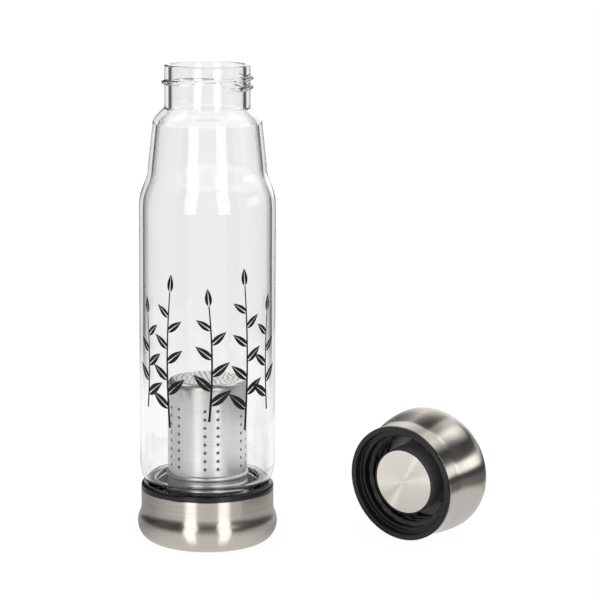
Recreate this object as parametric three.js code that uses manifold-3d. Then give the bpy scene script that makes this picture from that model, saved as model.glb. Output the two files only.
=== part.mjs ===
// Tea infuser bottle: a clear glass body open at both ends, a steel base with a perforated
// strainer screwed into it, and a steel top cap with a sealing plug.
// Millimetres, +Z up. The origin is the centre of the flat foot on the table, and the front
// of the bottle faces -Y. The cap is taken off and lies on its side to the right.
import * as THREE from 'three';
import { mergeGeometries, mergeVertices } from 'three/addons/utils/BufferGeometryUtils.js';
import Module from 'manifold-3d';

// Facets and clearances
const facets = 28;
const pressFit = 0.3; // between pieces that are pressed, glued or welded together
const seatGap = 0.3; // between a seal and the glass rim that presses on it
const sealRoom = 0.3; // radial room on both sides of a seal
const threadRoom = 1.7; // radial room for the thread between a plain neck and its socket
const capThreadRoom = 2.9; // the same for the cap, whose thread is taller
const heelGap = 1; // between the lip of the base and the heel of the glass
const bossRoom = 1; // between the strainer socket and the bore of the glass around it

// Walls that several pieces share
const steelWall = 0.7;
const linerWall = 1.8;
const linerFloor = 2;
const discThickness = 0.6;
const sealThickness = 1.9;

// Base: drawn steel shell and moulded liner
const baseHeight = 26;
const baseBulge = 1.8; // how far the bulge stands out from the skirt
const baseCornerRound = 9.8;
const baseSkirtStart = 18; // height where the bulge ends and the straight skirt starts
const baseCrease = 0.5; // share of the bulge's slope that rounds its crease with the skirt
const baseGripWall = 2.4; // liner wall inside the steel skirt
const baseLipHeight = 3.4;
const baseLipRound = 1.5;
const baseLipLand = 0.9; // flat top of the lip
const baseLeadIn = 1; // depth of the funnel at the mouth of the glass socket
const glassSocketFloor = 12.5; // height of the socket floor above the table
const strainerSocketDepth = 11.5;
const strainerSocketWall = 2.4;

// Glass body, from the bottom to the top
const bodyRadius = 33;
const bodyWall = 2.3;
const heelStep = 5.7; // from the body in to the lower neck
const heelLedge = 2.1; // flat underside of the heel, beside the lower neck
const heelHeight = 11.6;
const heelEdge = 1.2; // bevel where the inner ledge of the heel meets the lower bore
const lowerNeckWall = 2.6;
const bodyLength = 123; // straight wall between the heel and the flare
const flareStep = 4.5; // from the body in to the upper section
const flareHeight = 20;
const upperLength = 21;
const upperTaper = 2.24; // how much the upper section narrows
const shoulderHeight = 7;
const shoulderLean = 0.25; // from the foot of the shoulder in to the corner that it rounds
const shoulderSlope = 0.88; // rise of its cone towards the neck, to each unit inwards
const shoulderReach = 0.8; // how near the curve's handles come to the corner
const neckRadius = 20.6;
const neckWall = 3.2;
const neckLength = 20.6;
const rimRound = 0.8; // bevel of both glass rims

// Strainer
const sleeveStep = 0.3; // from the collar in to the sleeve
const sleeveWall = 0.6;
const sleeveLength = 44.7;
const sleeveRound = 2.7; // rounded edge between the side and the end
const collarWall = 0.7;
const collarLength = 22.3; // from its foot to the top of the bead
const collarBead = 0.5; // how far the bead stands out
const collarBeadHeight = 2.6;
const collarWaist = 0.4; // depth of the groove under the bead
const collarWaistHeight = 2.6;
const spigotLength = 2.2; // part of the collar that goes up into the sleeve
const sideHoleDiameter = 1.5;
const sideHoleRows = 8;
const sideHolePitch = 4.1;
const sideHoleStart = 3.2; // from the sleeve's lower edge to the lowest row
const holePairs = 6;
const holePairHalfAngle = 9.3; // degrees from the middle of a pair to each column
const strainerTurn = 5.8; // degrees from the front to the middle of the first pair
const endHoleDiameter = 1.4;
const endHolePitch = 2.55; // from ring to ring
const endHoleMargin = 0.4; // least plain border round the outer ring
const endGap = 0.1; // weld gap between the end disc and the sleeve

// Cap, in its own frame: the mouth is at height 0 and the closed top is up
const capTopRoom = 10.5; // between the liner and the top of the shell
const capBulge = 2.3; // how far the bulge stands out from the skirt
const capCornerRound = 12.7;
const capSkirtEnd = 9; // height where the straight skirt ends and the bulge starts
const capCrease = 0.12; // share of the bulge's slope that rounds its crease with the skirt
const capGripWall = 4.5; // liner wall inside the steel skirt
const capLipHeight = 1.2;
const capLipLand = 2.3; // flat ring face round the mouth
const capFunnelDepth = 2.8;
const capOverlap = 2; // how far the mouth reaches past the foot of the neck when it is on
const plugClearance = 0.8; // between the plug and the bore of the neck
const plugRecess = 3; // from the mouth to the face of the plug's disc
const plugWall = 2.2;
const capDiscMargin = 0.45; // plug's edge that shows round the disc

// Cap, where it lies
const capPlace = { x: 106, y: 10 };
const capTurn = 39; // degrees that the mouth is turned from the front to the left

// Sizes that follow: the base and the strainer from the glass, and the cap from its neck
const lowerNeckRadius = bodyRadius - heelStep;
const lowerBore = lowerNeckRadius - lowerNeckWall;
const strainerBossRadius = lowerBore - bossRoom;
const strainerSocketRadius = strainerBossRadius - strainerSocketWall;
const collarRadius = strainerSocketRadius - threadRoom;
const sleeveRadius = collarRadius - sleeveStep;
const sleeveFacets = 5 * holePairs;
const glassSocketRadius = lowerNeckRadius + threadRoom;
const baseGripRadius = glassSocketRadius + baseGripWall;
const baseSkirtRadius = baseGripRadius + pressFit + steelWall;
const baseBulgeRadius = baseSkirtRadius + baseBulge;
const upperRadius = bodyRadius - flareStep;
const upperTopRadius = upperRadius - upperTaper;
const neckBore = neckRadius - neckWall;
const capSocketRadius = neckRadius + capThreadRoom;
const capGripRadius = capSocketRadius + capGripWall;
const capSkirtRadius = capGripRadius + pressFit + steelWall;
const capBulgeRadius = capSkirtRadius + capBulge;
const plugRadius = neckBore - plugClearance;

// Heights that follow, from the table up, and then from the mouth of the cap
const lipTop = baseHeight + baseLipHeight;
const sealFoot = glassSocketFloor + pressFit;
const glassFoot = sealFoot + sealThickness + seatGap;
const heelFoot = lipTop + heelGap;
const discFoot = glassSocketFloor + pressFit;
const collarFoot = discFoot + discThickness + pressFit;
const collarTop = collarFoot + collarLength;
const sleeveFoot = collarTop + pressFit;
const sleeveTop = sleeveFoot + sleeveLength;
const capSocketDepth = capOverlap + neckLength + seatGap + sealThickness + pressFit;
const capLinerTop = capSocketDepth + linerFloor;
const capHeight = capLinerTop + capTopRoom + steelWall;
const plugFace = plugRecess + discThickness + pressFit;

const wasm = await Module();
wasm.setup();

// A turned piece's outline as [radius, height] points, in order, with straight stretches as points
// and round stretches as curves.
function outline(...stretches) {
  const points = stretches.flatMap((stretch) => (stretch.isCurve ? stretch.points : [stretch]));
  return points.map(([radius, height]) => new THREE.Vector2(radius, height));
}

function curvePoints(curve, steps) {
  return { isCurve: true, points: curve.getPoints(steps).map((point) => [point.x, point.y]) };
}

// Part of an ellipse, from one angle to another in degrees: 0 points outwards and 90 up.
function round(centreRadius, centreHeight, halfWidth, halfHeight, from, to, steps = 4) {
  const start = THREE.MathUtils.degToRad(from);
  const end = THREE.MathUtils.degToRad(to);
  const clockwise = to < from;
  const arc = new THREE.EllipseCurve(
    centreRadius, centreHeight, halfWidth, halfHeight, start, end, clockwise,
  );
  return curvePoints(arc, steps);
}

// Smooth S between two radii that leaves and arrives upright. The reaches are the lengths of its
// handles at the start and at the end.
function sweep(start, startReach, end, endReach, steps = 6) {
  const curve = new THREE.CubicBezierCurve(
    new THREE.Vector2(start[0], start[1]),
    new THREE.Vector2(start[0], start[1] + startReach),
    new THREE.Vector2(end[0], end[1] - endReach),
    new THREE.Vector2(end[0], end[1]),
  );
  return curvePoints(curve, steps);
}

// Turns an outline round +Z, with its first facet edge at the front. The outline starts and ends on
// the axis.
function turned(points, count = facets, firstEdge = 0) {
  const lathe = new THREE.LatheGeometry(points, count, firstEdge);
  lathe.rotateX(Math.PI / 2);
  return lathe;
}

// The same for an outline that goes round a hole and closes on its first point.
function turnedRing(points, count = facets, firstEdge = 0) {
  return turned([...points, points[0].clone()], count, firstEdge);
}

function flatRing(innerRadius, outerRadius, bottom, top) {
  return turnedRing(outline(
    [innerRadius, bottom], [outerRadius, bottom], [outerRadius, top], [innerRadius, top],
  ));
}

function flatDisc(radius, bottom, top) {
  return turned(outline([0, bottom], [radius, bottom], [radius, top], [0, top]));
}

function toSolid(geometry) {
  const bare = geometry.clone();
  bare.deleteAttribute('normal');
  bare.deleteAttribute('uv');
  const welded = mergeVertices(bare, 1e-4);
  return new wasm.Manifold(new wasm.Mesh({
    numProp: 3,
    vertProperties: new Float32Array(welded.attributes.position.array),
    triVerts: new Uint32Array(welded.index.array),
  }));
}

function toGeometry(solid) {
  const mesh = solid.getMesh();
  const geometry = new THREE.BufferGeometry();
  geometry.setAttribute('position', new THREE.BufferAttribute(mesh.vertProperties, 3));
  geometry.setIndex(new THREE.BufferAttribute(mesh.triVerts, 1));
  geometry.computeVertexNormals();
  return geometry;
}

// Materials
const brushedSteel = { color: 0xb0aaa3, roughness: 0.32, metalness: 1 };
const polishedSteel = { color: 0xd2cec8, roughness: 0.14, metalness: 1 };
const blackPlastic = { color: 0x1e1e1c, roughness: 0.3, metalness: 0 };
const greySilicone = { color: 0x4a4a4a, roughness: 0.6, metalness: 0 };
const clearGlass = { color: 0xf2f6f5, roughness: 0.02, metalness: 0, transparent: true, opacity: 0.3 };

function piece(name, geometry, finish) {
  const mesh = new THREE.Mesh(geometry, new THREE.MeshStandardMaterial(finish));
  mesh.name = name;
  return mesh;
}

// Drawn steel cup with a flat end, a rounded corner, a bulge and a straight skirt, from the closed
// end at height 0 to the open rim.
function steelCup(bulgeRadius, cornerRound, skirtRadius, skirtHeight, crease, rimHeight) {
  const centre = bulgeRadius - cornerRound;
  const slope = skirtHeight - cornerRound;
  return turned(outline(
    [0, 0],
    round(centre, cornerRound, cornerRound, cornerRound, -90, 0, 5),
    sweep([bulgeRadius, cornerRound], slope / 2, [skirtRadius, skirtHeight], slope * crease),
    [skirtRadius, rimHeight],
    [skirtRadius - steelWall, rimHeight],
    [skirtRadius - steelWall, skirtHeight],
    [bulgeRadius - steelWall, cornerRound],
    round(centre, cornerRound, cornerRound - steelWall, cornerRound - steelWall, 0, -90, 4),
    [0, steelWall],
  ));
}

function makeBaseShell() {
  const geometry = steelCup(
    baseBulgeRadius, baseCornerRound, baseSkirtRadius, baseSkirtStart, baseCrease, baseHeight,
  );
  return piece('base_shell', geometry, brushedSteel);
}

function makeBaseInsert() {
  const lipFoot = baseHeight + pressFit;
  const landInner = baseSkirtRadius - baseLipRound - baseLipLand;
  const underside = glassSocketFloor - linerFloor;
  const bossTop = glassSocketFloor + strainerSocketDepth;
  return piece('base_insert', turned(outline(
    [0, underside],
    [glassSocketRadius + linerWall, underside],
    [glassSocketRadius + linerWall, baseSkirtStart],
    [baseGripRadius, baseSkirtStart],
    [baseGripRadius, lipFoot],
    [baseSkirtRadius, lipFoot],
    round(baseSkirtRadius - baseLipRound, lipTop - baseLipRound, baseLipRound, baseLipRound, 0, 90),
    [landInner, lipTop],
    [glassSocketRadius, lipTop - baseLeadIn],
    [glassSocketRadius, glassSocketFloor],
    [strainerBossRadius, glassSocketFloor],
    [strainerBossRadius, bossTop],
    [strainerSocketRadius, bossTop],
    [strainerSocketRadius, glassSocketFloor],
    [0, glassSocketFloor],
  )), blackPlastic);
}

function makeBaseSeal() {
  const geometry = flatRing(
    strainerBossRadius + sealRoom, glassSocketRadius - sealRoom, sealFoot, sealFoot + sealThickness,
  );
  return piece('base_seal', geometry, greySilicone);
}

function makeBaseDisc() {
  const geometry = flatDisc(strainerSocketRadius - pressFit, discFoot, discFoot + discThickness);
  return piece('base_disc', geometry, polishedSteel);
}

function reversed(stretch) {
  return { isCurve: true, points: [...stretch.points].reverse() };
}

// Rounded shoulder that follows the upper section to a corner and then a cone in to the neck.
function shoulder(radius, foot, neck, top) {
  const start = new THREE.Vector2(radius, foot);
  const end = new THREE.Vector2(neck, top);
  const corner = new THREE.Vector2(radius - shoulderLean, top - shoulderSlope * (radius - neck));
  const leave = start.clone().lerp(corner, shoulderReach);
  const arrive = end.clone().lerp(corner, shoulderReach);
  return curvePoints(new THREE.CubicBezierCurve(start, leave, arrive, end), 5);
}

// The glass is one wall with the heel, the flare and the shoulder on both faces, thinner in the
// body and thicker in the necks.
function makeGlassBody() {
  const bodyFoot = heelFoot + heelHeight;
  const flareFoot = bodyFoot + bodyLength;
  const upperFoot = flareFoot + flareHeight;
  const shoulderFoot = upperFoot + upperLength;
  const neckFoot = shoulderFoot + shoulderHeight;
  const rim = neckFoot + neckLength;
  const ledge = lowerNeckRadius + heelLedge;
  const innerBody = bodyRadius - bodyWall;
  const flareStart = flareHeight / 2;
  const flareEnd = flareHeight * 0.4;
  const innerDrop = bodyWall / 2; // how much lower the inner shoulder starts
  const coneDepth = bodyWall * Math.hypot(1, shoulderSlope); // upright depth of the cone's wall
  const innerShoulder = shoulder(
    upperTopRadius - bodyWall, shoulderFoot - innerDrop,
    neckBore, neckFoot + shoulderSlope * neckWall - coneDepth,
  );
  const innerFlare = sweep(
    [innerBody, flareFoot], flareStart, [upperRadius - bodyWall, upperFoot], flareEnd, 5,
  );
  const innerLedge = heelFoot + bodyWall;
  return piece('glass_body', turnedRing(outline(
    [lowerBore + rimRound, glassFoot],
    [lowerNeckRadius - rimRound, glassFoot],
    [lowerNeckRadius, glassFoot + rimRound],
    [lowerNeckRadius, heelFoot],
    round(ledge, bodyFoot, bodyRadius - ledge, heelHeight, -90, 0, 5),
    sweep([bodyRadius, flareFoot], flareStart, [upperRadius, upperFoot], flareEnd, 5),
    shoulder(upperTopRadius, shoulderFoot, neckRadius, neckFoot),
    [neckRadius, rim - rimRound],
    [neckRadius - rimRound, rim],
    [neckBore + rimRound, rim],
    [neckBore, rim - rimRound],
    reversed(innerShoulder),
    reversed(innerFlare),
    round(ledge, bodyFoot, innerBody - ledge, bodyFoot - innerLedge, 0, -90, 5),
    [lowerBore + heelEdge, innerLedge],
    [lowerBore, innerLedge - heelEdge],
    [lowerBore, glassFoot + rimRound],
  )), clearGlass);
}

// Threaded collar: a plain tube with a waist and a bead at the top, and a spigot for the sleeve.
function makeStrainerCollar() {
  const spigotRadius = sleeveRadius - sleeveWall - pressFit;
  const bore = spigotRadius - collarWall;
  const beadFoot = collarTop - collarBeadHeight;
  const waistFoot = beadFoot - collarWaistHeight;
  const waistMiddle = beadFoot - collarWaistHeight / 2;
  return piece('strainer_collar', turnedRing(outline(
    [bore, collarFoot],
    [collarRadius, collarFoot],
    [collarRadius, waistFoot],
    [collarRadius - collarWaist, waistMiddle],
    round(collarRadius - collarWaist, beadFoot + collarBeadHeight / 2,
      collarBead + collarWaist, collarBeadHeight / 2, -90, 90),
    [spigotRadius, collarTop],
    [spigotRadius, collarTop + spigotLength],
    [bore, collarTop + spigotLength],
  )), polishedSteel);
}

// Six-sided cutter for one hole, along +Z.
function holeCutter(diameter, length) {
  const cutter = new THREE.CylinderGeometry(diameter / 2, diameter / 2, length, 6);
  cutter.rotateX(Math.PI / 2);
  return cutter;
}

// Drawn sleeve with a turned-in upper edge and pairs of hole columns round its side. Each hole
// goes through the middle of one facet.
function makeStrainerSleeve() {
  const halfFacet = Math.PI / sleeveFacets;
  const endRadius = sleeveRadius - sleeveRound;
  const innerRound = sleeveRound - sleeveWall;
  const blank = toSolid(turnedRing(outline(
    [sleeveRadius - sleeveWall, sleeveFoot],
    [sleeveRadius, sleeveFoot],
    round(endRadius, sleeveTop - sleeveRound, sleeveRound, sleeveRound, 0, 90),
    round(endRadius, sleeveTop - sleeveRound, innerRound, innerRound, 90, 0, 3),
  ), sleeveFacets, halfFacet));
  const cutters = [];
  for (let pair = 0; pair < holePairs; pair += 1) {
    for (const side of [-1, 1]) {
      const column = (360 / holePairs) * pair + side * holePairHalfAngle;
      for (let row = 0; row < sideHoleRows; row += 1) {
        const cutter = holeCutter(sideHoleDiameter, sleeveWall * 4);
        cutter.rotateX(Math.PI / 2);
        cutter.translate(0, -sleeveRadius, sleeveFoot + sideHoleStart + row * sideHolePitch);
        cutter.rotateZ(THREE.MathUtils.degToRad(column));
        cutters.push(cutter);
      }
    }
  }
  const drilled = toGeometry(blank.subtract(toSolid(mergeGeometries(cutters))));
  const sleeve = piece('strainer_sleeve', drilled, polishedSteel);
  sleeve.rotation.z = THREE.MathUtils.degToRad(strainerTurn);
  return sleeve;
}

// Corners of a regular polygon, counted from the front. The shift is in steps between corners.
function polygon(count, size, centre = { x: 0, y: 0 }, shift = 0) {
  return Array.from({ length: count }, (_, index) => {
    const angle = ((index + shift) / count) * 2 * Math.PI;
    return new THREE.Vector2(centre.x + size * Math.sin(angle), centre.y - size * Math.cos(angle));
  });
}

// Flat end disc with a hole in the middle and rings of 6, 12, 18 ... holes round it, as many as fit.
function makeStrainerEnd() {
  const radius = sleeveRadius - sleeveRound - endGap;
  const rings = Math.floor((radius - endHoleMargin - endHoleDiameter / 2) / endHolePitch);
  const disc = new THREE.Shape(polygon(sleeveFacets, radius, { x: 0, y: 0 }, 0.5));
  for (let ring = 0; ring <= rings; ring += 1) {
    const count = Math.max(1, 6 * ring);
    for (const centre of polygon(count, ring * endHolePitch)) {
      disc.holes.push(new THREE.Path(polygon(6, endHoleDiameter / 2, centre)));
    }
  }
  const geometry = new THREE.ExtrudeGeometry(disc, { depth: sleeveWall, bevelEnabled: false });
  geometry.translate(0, 0, sleeveTop - sleeveWall);
  const end = piece('strainer_end', geometry, polishedSteel);
  end.rotation.z = THREE.MathUtils.degToRad(strainerTurn);
  return end;
}

// Cap pieces, made mouth down in the cap's own frame
function makeCapShell() {
  const geometry = steelCup(
    capBulgeRadius, capCornerRound, capSkirtRadius, capHeight - capSkirtEnd, capCrease,
    capHeight - capLipHeight - pressFit,
  );
  geometry.rotateX(Math.PI);
  geometry.translate(0, 0, capHeight);
  return piece('cap_shell', geometry, brushedSteel);
}

function makeCapInsert() {
  const tubeRadius = capSocketRadius + linerWall;
  return piece('cap_insert', turned(outline(
    [0, plugFace],
    [plugRadius, plugFace],
    [plugRadius, capSocketDepth],
    [capSocketRadius, capSocketDepth],
    [capSocketRadius, capFunnelDepth],
    [capSkirtRadius - capLipLand, 0],
    [capSkirtRadius, 0],
    [capSkirtRadius, capLipHeight],
    [capGripRadius, capLipHeight],
    [capGripRadius, capSkirtEnd],
    [tubeRadius, capSkirtEnd],
    [tubeRadius, capLinerTop],
    [plugRadius - plugWall, capLinerTop],
    [plugRadius - plugWall, plugFace + plugWall],
    [0, plugFace + plugWall],
  )), blackPlastic);
}

function makeCapDisc() {
  const geometry = flatDisc(plugRadius - capDiscMargin, plugRecess, plugRecess + discThickness);
  return piece('cap_disc', geometry, polishedSteel);
}

function makeCapSeal() {
  const top = capSocketDepth - pressFit;
  const geometry = flatRing(plugRadius + sealRoom, capSocketRadius - sealRoom, top - sealThickness, top);
  return piece('cap_seal', geometry, greySilicone);
}

// The cap lies on the edge of its lip and on its bulge. The tilt is that of the steepest line from
// the edge to a point of the shell, and the pivot is the middle of the cap's axis.
function makeCap() {
  const shell = makeCapShell();
  const points = shell.geometry.getAttribute('position');
  let tilt = 0;
  for (let index = 0; index < points.count; index += 1) {
    const stand = Math.hypot(points.getX(index), points.getY(index)) - capSkirtRadius;
    tilt = Math.max(tilt, Math.atan2(stand, points.getZ(index)));
  }
  const middle = capHeight / 2;
  const pieces = new THREE.Group();
  pieces.add(shell, makeCapInsert(), makeCapDisc(), makeCapSeal());
  pieces.position.z = -middle;
  const laid = new THREE.Group();
  laid.add(pieces);
  laid.rotation.x = tilt - Math.PI / 2;
  const placed = new THREE.Group();
  placed.add(laid);
  placed.rotation.z = -THREE.MathUtils.degToRad(capTurn);
  placed.position.set(
    capPlace.x, capPlace.y, capSkirtRadius * Math.cos(tilt) + middle * Math.sin(tilt),
  );
  return placed;
}

const bottle = new THREE.Group();
bottle.add(
  makeBaseShell(),
  makeBaseInsert(),
  makeBaseSeal(),
  makeBaseDisc(),
  makeStrainerCollar(),
  makeStrainerSleeve(),
  makeStrainerEnd(),
  makeGlassBody(),
  makeCap(),
);

export default bottle;
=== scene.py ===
"""Tea infuser bottle: a glass body on a steel base with a strainer, and its steel cap beside it."""

import bpy
import numpy as np
from mathutils.geometry import delaunay_2d_cdt
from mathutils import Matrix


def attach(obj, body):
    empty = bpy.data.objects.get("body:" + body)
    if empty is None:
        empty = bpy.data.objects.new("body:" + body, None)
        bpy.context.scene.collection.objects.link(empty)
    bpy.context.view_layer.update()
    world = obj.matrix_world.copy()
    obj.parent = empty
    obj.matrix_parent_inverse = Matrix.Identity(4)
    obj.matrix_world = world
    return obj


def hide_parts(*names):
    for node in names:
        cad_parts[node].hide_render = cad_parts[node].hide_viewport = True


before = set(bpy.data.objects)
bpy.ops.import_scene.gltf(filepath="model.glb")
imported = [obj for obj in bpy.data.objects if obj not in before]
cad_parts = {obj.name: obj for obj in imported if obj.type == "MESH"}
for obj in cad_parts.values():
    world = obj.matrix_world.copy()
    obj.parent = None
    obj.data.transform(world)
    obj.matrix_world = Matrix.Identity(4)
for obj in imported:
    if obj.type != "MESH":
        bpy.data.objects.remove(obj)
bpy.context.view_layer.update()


# Base shell: the foot of the bottle, a cup drawn from 0.7 mm steel sheet with a soft bulge above
# its corner. The outside is brushed round the axis. The black liner is pressed into it.
MM = 0.001
AROUND = 192
STEEL_WALL = 0.7
RIM_SET = 0.15
BASE_BULGE_RADIUS = 34.2
BASE_SKIRT_RADIUS = 32.4
BASE_CORNER = 9.8
BASE_SKIRT_START = 18.0
BASE_SKIRT_END = 26.0
STEEL_LIGHT = (0.62, 0.583, 0.53, 1)
STEEL_DARK = (0.47, 0.441, 0.398, 1)


def line(end, steps=4, edge=0.12):
    """Straight stretch of an outline from where the last one ended: even steps, with one more point
    close to each end so that the shading of a small round beside it doesn't spread over it."""
    def stretch(start):
        along = np.array(end, float) - start
        near = edge / np.linalg.norm(along)
        share = np.sort(np.concatenate([np.linspace(0, 1, steps + 1), [near, 1 - near]]))
        return start + share[:, None] * along
    return stretch


def arc(centre, radii, start, end, steps=8):
    """Part of a circle or an ellipse: centre plus the radius, or the two radii, times the cosine and
    sine of an angle that goes from start to end in degrees, 0 outwards and 90 up."""
    angle = np.radians(np.linspace(start, end, steps + 1))
    return np.array(centre) + np.stack([np.cos(angle), np.sin(angle)], 1) * radii


def bezier(first, second, third, last, steps=12):
    """Cubic curve: the four points weighted by the Bernstein polynomials of a share from 0 to 1."""
    share = np.linspace(0, 1, steps + 1)[:, None]
    rest = 1 - share
    weighted = rest**3 * np.array(first) + 3 * rest**2 * share * np.array(second)
    return weighted + 3 * rest * share**2 * np.array(third) + share**3 * np.array(last)


def s_curve(start, start_reach, end, end_reach, steps=16):
    """Smooth S between two radii: a cubic curve that leaves and arrives upright."""
    return bezier(start, (start[0], start[1] + start_reach), (end[0], end[1] - end_reach), end, steps)


def rounded(corner, edge, start, line_steps, arc_steps, sweep=90):
    """A line to a corner and the quarter circle of radius edge that rounds it, from the start angle."""
    middle = np.radians(start + sweep / 2)
    centre = np.array(corner) - edge * np.sign([np.cos(middle), np.sin(middle)])
    quarter = arc(centre, edge, start, start + sweep, arc_steps)
    return line(quarter[0], line_steps), quarter


def join(first, *stretches):
    """One outline from its first point or curve and the lines and curves that go on from there."""
    outline = np.array(first, float).reshape(-1, 2)
    for stretch in stretches:
        curve = stretch(outline[-1]) if callable(stretch) else stretch
        outline = np.vstack([outline, curve[1:]])
    return outline


def lengths(outline):
    """Length along an outline at each of its points."""
    return np.concatenate([[0], np.cumsum(np.linalg.norm(np.diff(outline, axis=0), axis=1))])


def screw_ridge(angle, radius, height, wall, first, turns, lead, width, tall, start=0):
    """Thread on the wall of a given radius: its middle is at first plus lead for each turn from the
    start in degrees, its section is a smooth hump of the given width, and it fades in and out at its
    ends. A thread that leans in has a negative height, tall."""
    angle = (angle - np.radians(start)) % (2 * np.pi)
    best = np.zeros_like(height)
    for lap in range(int(np.ceil(turns))):
        travelled = angle / (2 * np.pi) + lap
        across = np.clip(1 - np.abs(height - first - lead * travelled) / (width / 2), 0, 1)
        hump = np.clip(1.6 * across, 0, 1)
        fade = np.clip(np.minimum(travelled, turns - travelled) / 0.1, 0, 1)
        best = np.maximum(best, hump**2 * (3 - 2 * hump) * fade**2 * (3 - 2 * fade))
    return tall * best * (np.abs(radius - wall) < 0.01)


def round_axis(radius, angle, height):
    """Points round the axis: x is radius times the sine of the angle from the front, y is minus
    radius times its cosine, and z is the height."""
    return np.stack(np.broadcast_arrays(radius * np.sin(angle), -radius * np.cos(angle), height), -1)


def grid_faces(rows, count, ring=False):
    """Faces of rows of points that close on themselves; a ring's last row joins its first."""
    low = np.arange(rows if ring else rows - 1)[:, None] * count
    high = (low + count) % (rows * count)
    left = np.arange(count)
    right = (left + 1) % count
    return np.stack([low + left, low + right, high + right, high + left], -1)


def grid_uvs(turns, along):
    """UVs of a grid's faces: the share of a turn at its columns and the length along at its rows."""
    spots = np.stack(np.meshgrid(turns, along * MM), -1)
    return np.stack([spots[:-1, :-1], spots[:-1, 1:], spots[1:, 1:], spots[1:, :-1]], -2)


def turned(outline, *threads, ring=False):
    """Surface of revolution of an outline of radius and height, with threads on its walls, each given
    by the values of screw_ridge from wall on. A ring's outline closes on itself, and other outlines
    start and end on the axis. Returns the points, the faces and the UVs."""
    outline = outline[:-1] if ring else outline
    rows = len(outline)
    angle = np.repeat(np.arange(AROUND)[None] * 2 * np.pi / AROUND, rows, 0)
    radius = np.repeat(outline[:, :1], AROUND, 1)
    height = np.repeat(outline[:, 1:], AROUND, 1)
    radius = radius + sum(screw_ridge(angle, radius, height, *thread) for thread in threads)
    points = round_axis(radius, angle, height)
    quads = grid_faces(rows, AROUND, ring)
    along = lengths(np.vstack([outline, outline[:1]]))
    uvs = grid_uvs(np.arange(AROUND + 1) / AROUND, along[:rows + ring])
    if ring:
        return points.reshape(-1, 3), [quads.reshape(-1, 4)], [uvs.reshape(-1, 4, 2)]
    points = np.vstack([points[0, :1], points[1:-1].reshape(-1, 3), points[-1, :1]])
    quads = quads - AROUND + 1
    first = quads[0][:, [0, 2, 3]]
    first[:, 0] = 0
    last = quads[-1][:, [0, 1, 2]]
    last[:, 2] = len(points) - 1
    faces = [first, quads[1:-1].reshape(-1, 4), last]
    return points, faces, [uvs[0][:, [0, 2, 3]], uvs[1:-1].reshape(-1, 4, 2), uvs[-1][:, [0, 1, 2]]]


def put_object(name, data):
    """A new object in the scene."""
    thing = bpy.data.objects.new(name, data)
    bpy.context.scene.collection.objects.link(thing)
    return thing


def make_piece(name, points, faces, uvs, material, sharp=40):
    """Puts points in millimetres, arrays of faces and their UVs into a smooth-shaded object. Points
    that no face uses are left out."""
    used = np.unique(np.concatenate([group.ravel() for group in faces]))
    number = np.zeros(len(points), int)
    number[used] = np.arange(len(used))
    corners = [face for group in faces for face in number[group].tolist()]
    mesh = bpy.data.meshes.new(name)
    mesh.from_pydata((points[used] * MM).tolist(), [], corners)
    layer = mesh.uv_layers.new(name="UVMap")
    layer.data.foreach_set("uv", np.concatenate([group.reshape(-1) for group in uvs]))
    mesh.shade_smooth()
    mesh.set_sharp_from_angle(angle=np.radians(sharp))
    mesh.materials.append(material)
    return put_object(name, mesh)


def feed(tree, node, values):
    """Sets inputs of a node: a socket is linked, and any other value is a constant."""
    for key, value in values.items():
        if isinstance(value, bpy.types.NodeSocket):
            tree.links.new(value, node.inputs[key])
        else:
            node.inputs[key].default_value = value


def add_node(tree, kind, values=None, **settings):
    """A node with its settings and inputs."""
    node = tree.nodes.new(kind)
    for key, value in settings.items():
        setattr(node, key, value)
    feed(tree, node, values or {})
    return node


def new_material(name, values):
    """A material with a Principled shader, whose constants are set on its sockets."""
    material = bpy.data.materials.new(name)
    material.use_nodes = True
    shader = material.node_tree.nodes["Principled BSDF"]
    feed(material.node_tree, shader, values)
    return material, material.node_tree, shader


def maths(tree, operation, *values):
    """A Math node on sockets or numbers. It and the helpers below return their outputs."""
    return add_node(tree, "ShaderNodeMath", dict(enumerate(values)), operation=operation).outputs[0]


def blend(tree, share, first, second, kind="FLOAT"):
    """One number or colour turned into another by a share."""
    values = {"Factor": share, "A": first, "B": second}
    return add_node(tree, "ShaderNodeMix", values, data_type=kind).outputs["Result"]


def ramp(tree, value, start, end, low=0.0, high=1.0, kind="LINEAR"):
    """A value carried from low at start to high at end, and kept between them."""
    values = {"Value": value, "From Min": start, "From Max": end, "To Min": low, "To Max": high}
    return add_node(tree, "ShaderNodeMapRange", values, interpolation_type=kind).outputs[0]


def noise(tree, place, scale, detail, rough=0.5):
    """Noise at a place."""
    values = {"Vector": place, "Scale": scale, "Detail": detail, "Roughness": rough}
    return add_node(tree, "ShaderNodeTexNoise", values).outputs["Fac"]


def relief(tree, height, strength, distance):
    """A normal that a height bends."""
    values = {"Height": height, "Strength": strength, "Distance": distance}
    return add_node(tree, "ShaderNodeBump", values).outputs[0]


def split(tree, vector):
    """The three parts of a vector."""
    return add_node(tree, "ShaderNodeSeparateXYZ", {0: vector}).outputs


def coords(tree):
    """The texture coordinates."""
    return tree.nodes.new("ShaderNodeTexCoord").outputs


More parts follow.
